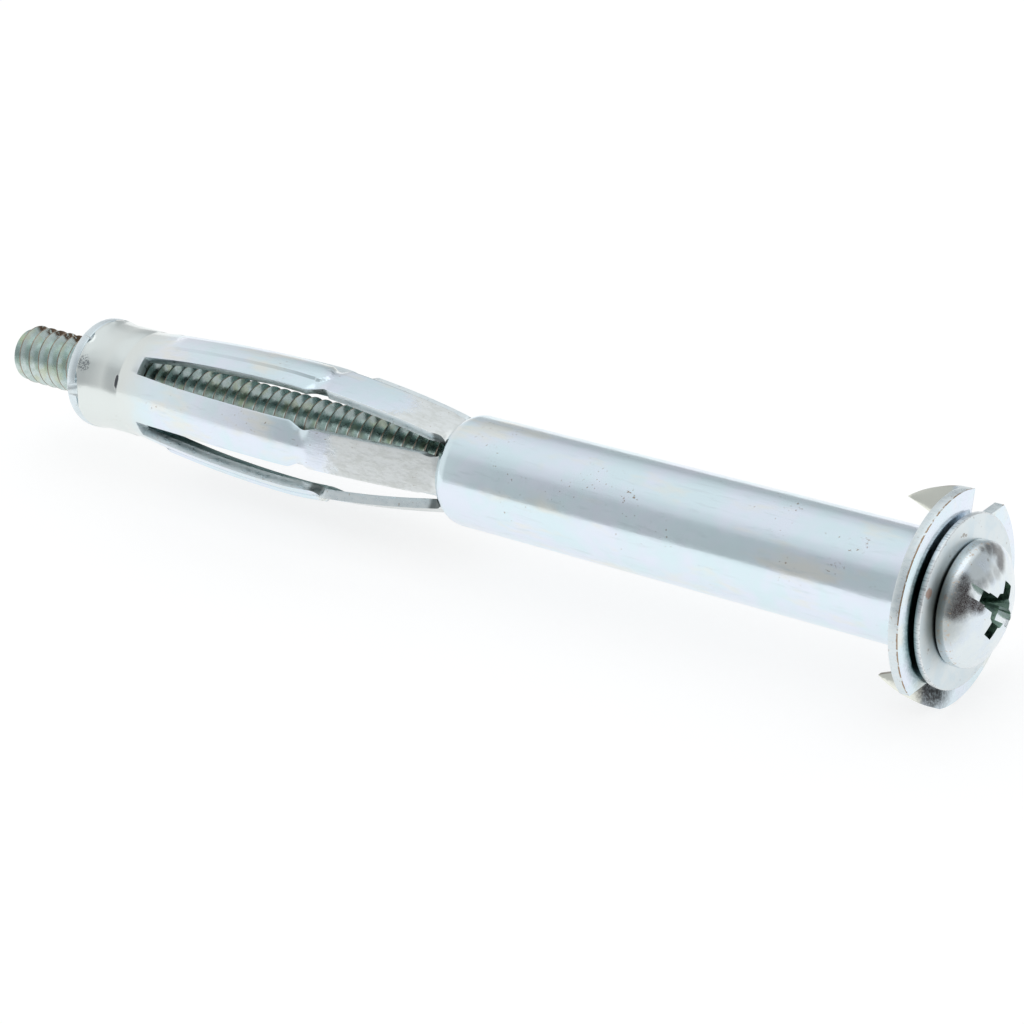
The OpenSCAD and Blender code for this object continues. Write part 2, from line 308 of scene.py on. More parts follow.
class AnchorStage(bpy.types.PropertyGroup):
    """The camera, the floor and the soft light round the anchor."""
    camera_place: FloatVectorProperty(name="Camera", description="Place of the camera", size=3,
                                      default=(0.10391, -0.160133, 0.125632),
                                      subtype="TRANSLATION", unit="LENGTH")
    camera_turn: FloatVectorProperty(name="Camera turn", description="Turn of the camera", size=3,
                                     default=(math.radians(58.659), math.radians(7.862),
                                              math.radians(36.734)),
                                     subtype="EULER", unit="ROTATION")
    lens: FloatProperty(name="Lens", description="Focal length in millimetres", default=117.4)
    floor_size: FloatProperty(name="Floor", description="Width of the floor", default=2.4,
                              subtype="DISTANCE", unit="LENGTH")
    tent_tilt: angle("Tent tilt", "Tilt of the light tent about the anchor's axis", -13)
    band: FloatProperty(name="Grey band", description="Light of the tent's grey band", default=0.5)
    top: FloatProperty(name="Tent top", description="Light of the tent's top", default=0.85)


# ---------------------------------------------------------------- working in edit mode

def deselect_everything():
    bpy.ops.object.select_all(action="DESELECT")


def take_up(piece):
    """Makes a piece the only one selected, and the active one."""
    deselect_everything()
    piece.select_set(True)
    bpy.context.view_layer.objects.active = piece


def added(operator, name, **settings):
    """Adds an object with one of Blender's operators, selected alone, and names it."""
    deselect_everything()
    operator(**settings)
    thing = bpy.context.object
    thing.name = name
    return thing


def edit(piece, kind="VERT", action="DESELECT"):
    """Opens a piece in edit mode with nothing selected, or with everything by SELECT."""
    take_up(piece)
    bpy.ops.object.mode_set(mode="EDIT")
    bpy.ops.mesh.select_mode(type=kind)
    bpy.ops.mesh.select_all(action=action)


def close_edit():
    bpy.ops.object.mode_set(mode="OBJECT")


def pick(piece, kind, test):
    """Selects only the vertices, edges or faces that pass the test, an edge with both its ends."""
    bpy.ops.mesh.select_mode(type=kind)
    bpy.ops.mesh.select_all(action="DESELECT")
    mesh = bmesh.from_edit_mesh(piece.data)
    if kind == "VERT":
        for vert in mesh.verts:
            vert.select_set(test(vert.co))
    elif kind == "EDGE":
        for edge in mesh.edges:
            ends = [vert.co for vert in edge.verts]
            edge.select_set(test((ends[0] + ends[1]) / 2) and all(test(end) for end in ends))
    else:
        for face in mesh.faces:
            face.select_set(test(face.calc_center_median()))
    bmesh.update_edit_mesh(piece.data)


def drop(piece, kind, test):
    """Deletes what passes the test, in edit mode."""
    pick(piece, kind, test)
    bpy.ops.mesh.delete(type=kind)


def extrude(move):
    """Extrudes what is selected by a move."""
    bpy.ops.mesh.extrude_region_move(TRANSFORM_OT_translate={"value": move})


def grow(shares, centre):
    """Resizes what is selected by its shares along X, Y and Z, about a centre."""
    bpy.ops.transform.resize(value=shares, center_override=centre)


def apply_modifier(piece, kind, **settings):
    """Adds a modifier with these settings and applies it."""
    take_up(piece)
    modifier = piece.modifiers.new(kind.title(), kind)
    for name, value in settings.items():
        setattr(modifier, name, value)
    bpy.ops.object.modifier_apply(modifier=modifier.name)


def apply_place(piece):
    take_up(piece)
    bpy.ops.object.transform_apply(location=True, rotation=True, scale=True)


def turned(piece, turn):
    """Turns a piece about the axis."""
    piece.rotation_euler = (0, 0, turn)
    apply_place(piece)


def copy_of(piece, name):
    """A copy of a piece with its own mesh."""
    take_up(piece)
    bpy.ops.object.duplicate(linked=False)
    twin = bpy.context.object
    twin.name = name
    return twin


def joined(pieces, name):
    """One piece made of several, with the points where they meet merged."""
    take_up(pieces[0])
    for piece in pieces:
        piece.select_set(True)
    bpy.ops.object.join()
    whole = bpy.context.object
    whole.name = name
    merge_points(whole)
    return whole


def merge_points(piece):
    edit(piece, action="SELECT")
    bpy.ops.mesh.remove_doubles(threshold=SAME_PLACE)
    close_edit()


def make_faces_agree(piece):
    """Makes the faces agree, which on a closed solid turns them outwards."""
    edit(piece, "FACE", "SELECT")
    bpy.ops.mesh.normals_make_consistent(inside=False)
    close_edit()


def point_outwards(piece, probe):
    """Makes the faces of a sheet agree, with those that pass the probe facing off the axis."""
    make_faces_agree(piece)
    off_axis = 0
    for face in piece.data.polygons:
        if probe(face.center):
            off_axis += face.normal.x * face.center.x + face.normal.y * face.center.y
    if off_axis < 0:
        edit(piece, "FACE", "SELECT")
        bpy.ops.mesh.flip_normals()
        close_edit()


def finished(piece, sharp):
    """Lays a piece along X in metres, and smooths it but for edges sharper than this."""
    piece.rotation_euler = (0, math.pi / 2, 0)
    piece.scale = (MM, MM, MM)
    apply_place(piece)
    piece.data.name = piece.name
    bpy.ops.object.shade_smooth_by_angle(angle=math.radians(sharp))
    return piece


def arc(centre, radius, start, end, steps):
    """Points (r, z) along an arc from one angle to another, in degrees."""
    points = []
    for i in range(steps + 1):
        a = math.radians(start + (end - start) * i / steps)
        points.append((centre[0] + radius * math.cos(a), centre[1] + radius * math.sin(a)))
    return points


def rows(start, end, count):
    """Evenly spaced heights between two, without the first."""
    return [start + (end - start) * (i + 1) / count for i in range(count)]


def turned_wall(name, outline, steps=RING_STEPS, phase=0.0):
    """A wall turned about the axis from an open outline of (radius, height) points."""
    radius, height = outline[0]
    piece = added(bpy.ops.mesh.primitive_circle_add, name, vertices=steps, radius=radius,
                  location=(0, 0, height), rotation=(0, 0, phase))
    apply_place(piece)
    edit(piece, action="SELECT")
    for old, new in zip(outline, outline[1:]):
        extrude((0, 0, new[1] - old[1]))
        grow((new[0] / old[0], new[0] / old[0], 1), (0, 0, new[1]))
    close_edit()
    return piece


def turned_ring(name, outline, steps):
    """A closed ring turned from a closed outline that doesn't reach the axis."""
    piece = turned_wall(name, outline + outline[:1], steps)
    merge_points(piece)
    make_faces_agree(piece)
    return piece


def turned_plug(name, outline, steps):
    """A solid turned from an outline that starts and ends near the axis, both ends filled."""
    piece = turned_wall(name, outline, steps)
    edit(piece)
    for radius, height in (outline[0], outline[-1]):
        pick(piece, "VERT", lambda p: abs(p.z - height) < SAME_PLACE
             and abs(math.hypot(p.x, p.y) - radius) < SAME_PLACE)
        bpy.ops.mesh.edge_face_add()
    close_edit()
    make_faces_agree(piece)
    return piece


def combine(piece, other, operation):
    """Joins, cuts or clips a solid with another, which is used up."""
    apply_modifier(piece, "BOOLEAN", operation=operation, object=other, solver="EXACT",
                   material_mode="TRANSFER")
    bpy.data.objects.remove(other)
    merge_points(piece)


def give(piece, materials):
    """Gives a piece these materials and no others."""
    piece.data.materials.clear()
    for material in materials:
        piece.data.materials.append(material)


def coated(piece, materials, index):
    """Gives a piece these materials, with one of them on every face."""
    give(piece, materials)
    for face in piece.data.polygons:
        face.material_index = index
    return piece


# ---------------------------------------------------------------- sleeve

def sleeve_places(s):
    """Heights along the sleeve that follow from its sizes."""
    tube_r = s.tube_d / 2
    shoulder_turn = math.acos((s.neck_r - tube_r + s.shoulder_r) / s.shoulder_r)
    neck_z = -s.tube_len - s.shoulder_r * math.sin(shoulder_turn)
    fold_z = neck_z - s.flat_len
    slot_end_z = fold_z - s.bow_len
    cup_z = slot_end_z - s.ring_len
    end_z = cup_z - s.cup_len
    return SimpleNamespace(tube_r=tube_r, shoulder_turn=math.degrees(shoulder_turn), neck_z=neck_z,
                           fold_z=fold_z, slot_end_z=slot_end_z, cup_z=cup_z, end_z=end_z)


def barrel(s, at, phase):
    """Back face of the flange, outside of the tube and its necked shoulder."""
    outline = [(s.flange_d / 2, 0)]
    outline += arc((at.tube_r + s.root_r, -s.root_r), s.root_r, 90, 180, steps=4)
    outline += [(at.tube_r, z) for z in rows(-s.root_r, -s.tube_len, 12)]
    outline += arc((at.tube_r - s.shoulder_r, -s.tube_len), s.shoulder_r, 0, -at.shoulder_turn,
                   steps=9)[1:]
    return turned_wall("barrel", outline, phase=phase)


def barb_places(s, fold):
    """Where one barb bends, and where its tip lies before it is folded."""
    flange_r = s.flange_d / 2
    # The bend's inner corner lies this far off its outer one, for the angle it is folded
    bend_y = s.wall * math.tan(fold / 2)
    reach = s.barb_len + s.wall
    return SimpleNamespace(flange_r=flange_r, bend_y=bend_y, reach=reach,
                           tip_x=math.sqrt(flange_r ** 2 - reach ** 2))


def cut_notch(piece, s, fold):
    """Opens the wedge-shaped notch that one barb leaves in the flange."""
    barb = barb_places(s, fold)
    root = Vector((s.notch_root_r, 0, 0))
    across = Vector((barb.reach, barb.tip_x - s.notch_root_r, 0)).normalized()

    def on_flange(place):
        return abs(place.z) < SAME_PLACE and place.x > 0 and abs(place.y) < barb.flange_r

    def past_bend(place):
        return on_flange(place) and place.y < barb.bend_y

    def in_wedge(place):
        return past_bend(place) and place.x > s.notch_root_r and (place - root).dot(across) > 0

    edit(piece, "FACE")
    for test, place, normal in ((on_flange, (0, barb.bend_y, 0), (0, 1, 0)),
                                (past_bend, root, (1, 0, 0)), (past_bend, root, across)):
        pick(piece, "FACE", test)
        bpy.ops.mesh.bisect(plane_co=place, plane_no=normal, threshold=SAME_PLACE / 10)
    drop(piece, "FACE", in_wedge)
    close_edit()


def fold_barb(piece, s, fold):
    """Folds one barb back from the edge of its notch."""
    barb = barb_places(s, fold)

    def sides(share):
        """Inner and outer edge of the barb at a share of its length past the bend."""
        along = barb.bend_y + share * (barb.reach - barb.bend_y)
        inner = s.notch_root_r + share * (barb.tip_x - s.notch_root_r)
        return inner, math.sqrt(barb.flange_r ** 2 - along ** 2)

    edit(piece, "EDGE")
    pick(piece, "EDGE", lambda p: abs(p.y - barb.bend_y) < SAME_PLACE and abs(p.z) < SAME_PLACE
         and s.notch_root_r - SAME_PLACE < p.x)
    old = sides(0)
    step = (barb.reach - barb.bend_y) * BARB_TIP / BARB_ROWS
    for row in range(BARB_ROWS):
        new = sides((row + 1) / BARB_ROWS * BARB_TIP)
        extrude((new[0] - old[0], -step * math.cos(fold), -step * math.sin(fold)))
        grow(((new[1] - new[0]) / (old[1] - old[0]), 1, 1), (new[0], 0, 0))
        old = new
    close_edit()


def ease(share):
    """Rises smoothly from 0 to 1 as the share does."""
    share = min(max(share, 0), 1)
    return share * share * (3 - 2 * share)


def leg_crown(s, d):
    """Outer radius of a leg at the distance d from the neck."""
    if d < s.flat_len:
        share = d / s.flat_len
        return s.neck_r + (s.fold_r - s.neck_r) * share + FLAT_BELLY * 4 * share * (1 - share)
    past_crest = d - s.flat_len - s.crest_back
    if past_crest < 0:
        return s.bow_r - (s.bow_r - s.fold_r) * (past_crest / s.crest_back) ** 2
    return s.bow_r - (s.bow_r - s.ring_r) * (past_crest / (s.bow_len - s.crest_back)) ** 2


def leg_half_width(s, d, neck_half, ring_half):
    """Half the width of a leg at the distance d from the neck, with its two hinge notches."""
    past_fold = d - s.flat_len
    if d < NECK_WIDTH_RUN:
        half = neck_half + (s.flat_w / 2 - neck_half) * ease(d / NECK_WIDTH_RUN)
    elif past_fold < FOLD_WIDTH_PAST:
        share = (past_fold + FOLD_WIDTH_BEFORE) / (FOLD_WIDTH_BEFORE + FOLD_WIDTH_PAST)
        half = s.flat_w / 2 + (s.bow_w - s.flat_w) / 2 * ease(share)
    else:
        share = (past_fold - FOLD_WIDTH_PAST) / (s.bow_len - FOLD_WIDTH_PAST)
        near_ring = (share - 1 + RING_WIDTH_SHARE) / RING_WIDTH_SHARE
        half = s.bow_w / 2 + (ring_half - s.bow_w / 2) * ease(near_ring)
    for middle, notch_half, depth in HINGE_NOTCHES:
        share = min(abs(d - middle) / notch_half, 1)
        half -= depth * (1 - share ** 2) ** 2
    return half


def leg_curl(s, d):
    """How round a leg is across, where 1 is the roundness of the neck."""
    if d < NECK_CURL_RUN:
        return 1 + (FLAT_CURL - 1) * ease(d / NECK_CURL_RUN)
    rise = (d - s.flat_len + FOLD_CURL_RUN / 2) / FOLD_CURL_RUN
    return FLAT_CURL + (s.ring_r / s.neck_r - FLAT_CURL) * ease(rise)


def leg_stations(s):
    """Distances from the neck at which a leg's cross-section is set."""
    neck = [NECK_ROW * (i + 1) for i in range(NECK_ROWS)]
    flat = rows(neck[-1], s.flat_len - FOLD_ROWS_BEFORE, FLAT_ROWS)
    fold = rows(flat[-1], s.flat_len + FOLD_ROWS_PAST, FOLD_ROWS)
    bow = rows(fold[-1], s.flat_len + s.bow_len, BOW_ROWS)
    return neck + flat + fold + bow


def leg(s, at):
    """One leg as a sheet, from its arc of the neck to its arc of the far ring."""
    half_turn = LEG_HALF_STEPS * RING_STEP
    neck_half, ring_half = s.neck_r * math.sin(half_turn), s.ring_r * math.sin(half_turn)
    piece = turned_wall("leg", [(s.neck_r, at.neck_z)])
    edit(piece)
    drop(piece, "VERT", lambda p: abs(math.atan2(p.y, p.x)) > half_turn + RING_STEP / 2)
    bpy.ops.mesh.select_all(action="SELECT")
    old = (0, s.neck_r, neck_half, 1)
    for d in leg_stations(s):
        new = (d, leg_crown(s, d), leg_half_width(s, d, neck_half, ring_half), leg_curl(s, d))
        extrude((new[1] - old[1], 0, old[0] - new[0]))
        grow((new[3] / old[3], new[2] / old[2], 1), (new[1], 0, 0))
        old = new
    close_edit()
    return piece


def press_rib(piece, at):
    """Presses the rib out of a leg's bow, with a rounded end at the fold."""
    rib_top = at.fold_z - RIB_START
    rib_low = at.slot_end_z + RIB_END

    def on_rib(place):
        short = max(0, RIB_HALF - (rib_top - place.z))
        return (rib_low < place.z < rib_top
                and abs(place.y) < math.sqrt(RIB_HALF ** 2 - short ** 2))

    edit(piece)
    pick(piece, "VERT", on_rib)
    bpy.ops.transform.translate(value=(RIB_H, 0, 0))
    close_edit()


def far_end(s, at):
    """Outside of the ring past the slots, the cup and its flared lip."""
    lip_z = at.end_z + s.lip_len
    flare = s.lip_r - s.cup_r
    outline = [(s.ring_r, at.slot_end_z), (s.ring_r - RING_WAIST, at.slot_end_z - s.ring_len / 2)]
    outline += [(s.cup_r - inside, at.cup_z - past) for inside, past in CUP_STEP]
    outline += [(s.cup_r, (at.cup_z + lip_z) / 2), (s.cup_r, lip_z)]
    outline += [(s.cup_r + flare * out, lip_z - s.lip_len * down) for out, down in LIP_FLARE]
    outline.append((s.lip_r, at.end_z))
    piece = turned_wall("far_end", outline)
    edit(piece)
    for middle, half, depth in LIP_SLITS:
        for off in range(-half, half + 1, round(math.degrees(RING_STEP))):
            turn = math.radians(middle + off)
            pick(piece, "VERT", lambda p: p.z < at.end_z + SAME_PLACE and abs(math.remainder(
                math.atan2(p.y, p.x) - turn, FULL_TURN)) < RING_STEP / 2)
            bpy.ops.transform.translate(value=(0, 0, depth * (1 - (off / half) ** 2)))
    close_edit()
    return piece


def open_shoulder(piece, s, at):
    """Lets the slots between the legs run up into the shoulder."""
    pitch = FULL_TURN / s.leg_count
    slot_half = pitch / 2 - LEG_HALF_STEPS * RING_STEP

    def in_slot(place):
        turn = math.atan2(place.y, place.x) - s.leg_clock - pitch / 2
        return (at.neck_z < place.z < at.neck_z + SLOT_RISE
                and abs(math.remainder(turn, pitch)) < slot_half)

    edit(piece, "FACE")
    drop(piece, "FACE", in_slot)
    close_edit()


def flatten_front(piece, s):
    """Brings back the corners that the sheet's thickness pushed past the flange's front."""
    edit(piece)
    pick(piece, "VERT", lambda p: p.z > s.wall)
    grow((1, 1, 0), (0, 0, s.wall))
    close_edit()


def show_front_face(piece, s, at):
    """Gives the flange's front, the tube's mouth and the barbs the bright outer plate."""
    for face in piece.data.polygons:
        middle = face.center
        on_barb = (middle.z > -BARB_COAT * s.barb_len
                   and math.hypot(middle.x, middle.y) > at.tube_r + s.root_r)
        if face.material_index == INNER_COAT and (middle.z > -s.root_r or on_barb):
            face.material_index = OUTER_COAT


def build_sleeve(s, colours):
    at = sleeve_places(s)
    main = barrel(s, at, (s.leg_clock - s.barb_clock) % RING_STEP)
    for fold in (s.lower_fold, s.upper_fold):
        cut_notch(main, s, fold)
        fold_barb(main, s, fold)
        turned(main, math.pi)
    turned(main, s.barb_clock)
    open_shoulder(main, s, at)
    # The last leg is plain, and the others have a rib
    plain = leg(s, at)
    ribbed = copy_of(plain, "leg")
    press_rib(ribbed, at)
    turned(plain, s.leg_clock - FULL_TURN / s.leg_count)
    turned(ribbed, s.leg_clock)
    legs = [plain, ribbed]
    for i in range(1, s.leg_count - 1):
        legs.append(copy_of(ribbed, "leg"))
        turned(legs[-1], i * FULL_TURN / s.leg_count)
    piece = joined([main] + legs + [far_end(s, at)], "folding_sleeve")
    point_outwards(piece, lambda place: -s.tube_len < place.z < -2 * s.wall)
    give(piece, sleeve_materials(s, at, colours))
    apply_modifier(piece, "SOLIDIFY", thickness=s.wall, offset=-1, use_even_offset=True,
                   material_offset=INNER_COAT, material_offset_rim=SHEARED_COAT)
    flatten_front(piece, s)
    show_front_face(piece, s, at)
    apply_modifier(piece, "BEVEL", width=SHEET_BREAK, segments=2, limit_method="ANGLE",
                   angle_limit=math.radians(SHEET_SHARP), material=WORN_COAT,
                   use_clamp_overlap=True, harden_normals=False)
    return finished(piece, sharp=SHEET_SHARP)


# ---------------------------------------------------------------- bush and washer

def build_bush(s, sleeve, colours):
    at = sleeve_places(sleeve)
    bore_r = s.screw_d / 2 + s.thread_gap
    body_r = at.tube_r - sleeve.wall - s.bush_gap
    collar_z = at.end_z - COLLAR_GAP
    face_z = collar_z - s.collar_t
    back_edge = (sleeve.lip_r - COLLAR_BACK, collar_z - COLLAR_BACK)
    outline = [(bore_r, at.cup_z), (body_r, at.cup_z), (body_r, collar_z)]
    outline += arc(back_edge, COLLAR_BACK, 90, 0, steps=3)
    outline += arc((sleeve.lip_r - s.collar_r, face_z + s.collar_r), s.collar_r, 0, -90, steps=6)
    outline += [(bore_r + BORE_BEVEL, face_z), (bore_r, face_z + BORE_BEVEL)]
    piece = turned_ring("bush_with_collar", outline, steps=120)
    give(piece, [bush_material(colours)])
    return finished(piece, sharp=35)


def build_washer(s, sleeve, colours):
    edge = WASHER_EDGE
    rim_z = sleeve.wall + WASHER_PLAY + RIM_LIFT
    dish_z = sleeve.wall + WASHER_PLAY + s.washer_dish
    hole_r = s.washer_hole_d / 2
    rim_r = s.washer_d / 2 - edge
    outline = [(hole_r, dish_z + edge), (hole_r + edge, dish_z)]
    outline += arc((rim_r, rim_z + edge), edge, -90, 0, steps=3)
    outline += arc((rim_r, rim_z + s.washer_t - edge), edge, 0, 90, steps=3)
    outline += [(hole_r + edge, dish_z + s.washer_t), (hole_r, dish_z + s.washer_t - edge)]
    piece = turned_ring("dished_washer", outline, RING_STEPS)
    give(piece, [washer_material(colours, s, sleeve)])
    return finished(piece, sharp=35)


# ---------------------------------------------------------------- screw

def screw_places(s, sleeve):
    """Heights along the screw that follow from its sizes and the pieces under its head."""
    head_z = sleeve.wall + WASHER_PLAY + s.washer_t + s.washer_dish + HEAD_PLAY
    return SimpleNamespace(head_z=head_z, dome_z=head_z + s.head_h, tip_z=head_z - s.screw_len)


def thread(s, top, low):
    """The screw's rolled thread as a closed solid between two heights."""
    crest = s.screw_d / 2
    root = crest - THREAD_DEPTH * s.pitch
    # Half the section, from its crest to its root: how far along in pitches, and radius
    half = [(0.0, crest), (0.055, crest - 0.02), (0.09, crest - 0.07), (0.42, root + 0.03),
            (0.5, root)]
    profile = half[:0:-1] + [(-along, radius) for along, radius in half]
    # The turns run past both ends, where the bisects then cut them off
    start = low - 1.5 * s.pitch
    turns = math.ceil((top - low) / s.pitch) + 3
    piece = added(bpy.ops.mesh.primitive_circle_add, "thread", vertices=3, radius=root,
                  location=(0, 0, start + profile[0][0] * s.pitch))
    apply_place(piece)
    edit(piece)
    drop(piece, "VERT", lambda p: p.y < root / 2)
    bpy.ops.mesh.select_all(action="SELECT")
    for old, new in zip(profile, profile[1:]):
        extrude((0, new[1] - old[1], (new[0] - old[0]) * s.pitch))
    close_edit()
    apply_modifier(piece, "SCREW", axis="Z", angle=FULL_TURN, screw_offset=s.pitch,
                   iterations=turns, steps=THREAD_STEPS, render_steps=THREAD_STEPS)
    merge_points(piece)
    edit(piece, "FACE")
    for height, normal in ((top, (0, 0, 1)), (low, (0, 0, -1))):
        bpy.ops.mesh.select_all(action="SELECT")
        bpy.ops.mesh.bisect(plane_co=(0, 0, height), plane_no=normal, use_fill=True,
                            clear_outer=True, threshold=SAME_PLACE / 10)
    close_edit()
    make_faces_agree(piece)
    return piece


def screw_blank(s, top, low):
    """What the thread is clipped to: a rod with a broken tip, a little wider than it."""
    rod = s.screw_d / 2 + BLANK_OVER
    tip = s.screw_d / 2 - s.tip_break
    outline = [(CORE_R, top), (rod, top), (rod, low + rod - tip), (tip, low), (CORE_R, low)]
    return turned_plug("blank", outline, steps=72)


def pan_head(s, at):
    """The domed head, with its blended edge and a small break under its side."""
    rise = s.head_h - s.head_side
    blend_in = s.head_d / 2 - s.head_blend
    dome_r = (rise ** 2 + blend_in ** 2 - s.head_blend ** 2) / (2 * (rise - s.head_blend))
    lean = math.degrees(math.asin(blend_in / (dome_r - s.head_blend)))
    first = math.degrees(math.asin(DOME_TOP_R / dome_r))
    outline = arc((0, at.dome_z - dome_r), dome_r, 90 - first, 90 - lean, steps=14)
    outline += arc((blend_in, at.head_z + s.head_side), s.head_blend, 90 - lean, 0, steps=8)[1:]
    outline += arc((s.head_d / 2 - HEAD_BREAK, at.head_z + HEAD_BREAK), HEAD_BREAK, 0, -90,
                   steps=3)
    outline += [(s.screw_d / 2 - UNDERSIDE_IN, at.head_z), (CORE_R, at.head_z)]
    return turned_plug("head", outline, steps=144)


def block(name, size, low_z):
    """A block about the axis that stands on a height."""
    piece = added(bpy.ops.mesh.primitive_cube_add, name, size=1,
                  location=(0, 0, low_z + size[2] / 2))
    piece.scale = size
    apply_place(piece)
    return piece


def recess_cutter(s, at, materials):
    """The driver's cross: two crossing tapered blades, a blunt core and a slot right across."""
    floor_z = at.dome_z - s.recess_depth
    spread = (s.recess_w / 2 - s.recess_arm) / s.recess_depth
    mouth = s.recess_w / 2 + CUTTER_OVER * spread
    cutter = turned_plug("core", [(CORE_MOUTH_R, at.dome_z + CUTTER_OVER),
                                  (CORE_FLOOR_R, floor_z - CORE_DEEPER)], steps=8)
    coated(cutter, materials, DARK_COAT)
    for turn in (0, math.pi / 2):
        blade = block("blade", (2 * mouth, s.recess_arm * ARM_MOUTH, s.recess_depth + CUTTER_OVER),
                      floor_z)
        edit(blade, "FACE")
        pick(blade, "FACE", lambda p: p.z < floor_z + SAME_PLACE)
        grow((s.recess_arm / mouth, ARM_FLOOR, 1), (0, 0, floor_z))
        close_edit()
        turned(blade, turn)
        combine(cutter, coated(blade, materials, DARK_COAT), "UNION")
    slot_z = at.dome_z - s.slot_depth
    slot = block("slot", (s.head_d + 2 * CUTTER_OVER, s.slot_w, s.slot_depth + CUTTER_OVER), slot_z)
    coated(slot, materials, DARK_COAT)
    for face in slot.data.polygons:
        if face.center.z < slot_z + SAME_PLACE:
            face.material_index = HEAD_COAT
    combine(cutter, slot, "UNION")
    turned(cutter, s.recess_clock)
    return cutter


def darken_crests(piece, s):
    """Gives the thread's crests their own dark brown coat, painted as the shade behind each crest.
    """
    crest = s.screw_d / 2 - CREST_BAND
    for face in piece.data.polygons:
        corners = [piece.data.vertices[i].co for i in face.vertices]
        if min(math.hypot(corner.x, corner.y) for corner in corners) > crest:
            face.material_index = CREST_COAT


def build_screw(s, sleeve, colours):
    at = screw_places(s, sleeve)
    materials = screw_materials(s, at, colours)
    piece = coated(thread(s, at.head_z + THREAD_IN_HEAD, at.tip_z), materials, THREAD_COAT)
    darken_crests(piece, s)
    blank = screw_blank(s, at.head_z + BLANK_IN_HEAD, at.tip_z)
    combine(piece, coated(blank, materials, THREAD_COAT), "INTERSECT")
    head = coated(pan_head(s, at), materials, HEAD_COAT)
    combine(head, recess_cutter(s, at, materials), "DIFFERENCE")
    combine(piece, head, "UNION")
    piece.name = "threaded_screw"
    return finished(piece, sharp=32)


# ---------------------------------------------------------------- finishes

def wired(tree, kind, inputs=(), **settings):
    """Adds a node with these settings, its inputs fed by sockets or held at fixed values."""
    node = tree.nodes.new("ShaderNode" + kind)
    for name, value in settings.items():
        setattr(node, name, value)
    for key, value in dict(inputs).items():
        socket = node.inputs[key]
        if isinstance(value, bpy.types.NodeSocket):
            tree.links.new(value, socket)
        else:
            socket.default_value = (*value, 1) if socket.type == "RGBA" else value
    return node


def tinted(base, red, green, blue):
    """A colour next to another: each channel times its share."""
    return tuple(min(1, c * k) for c, k in zip(base, (red, green, blue)))


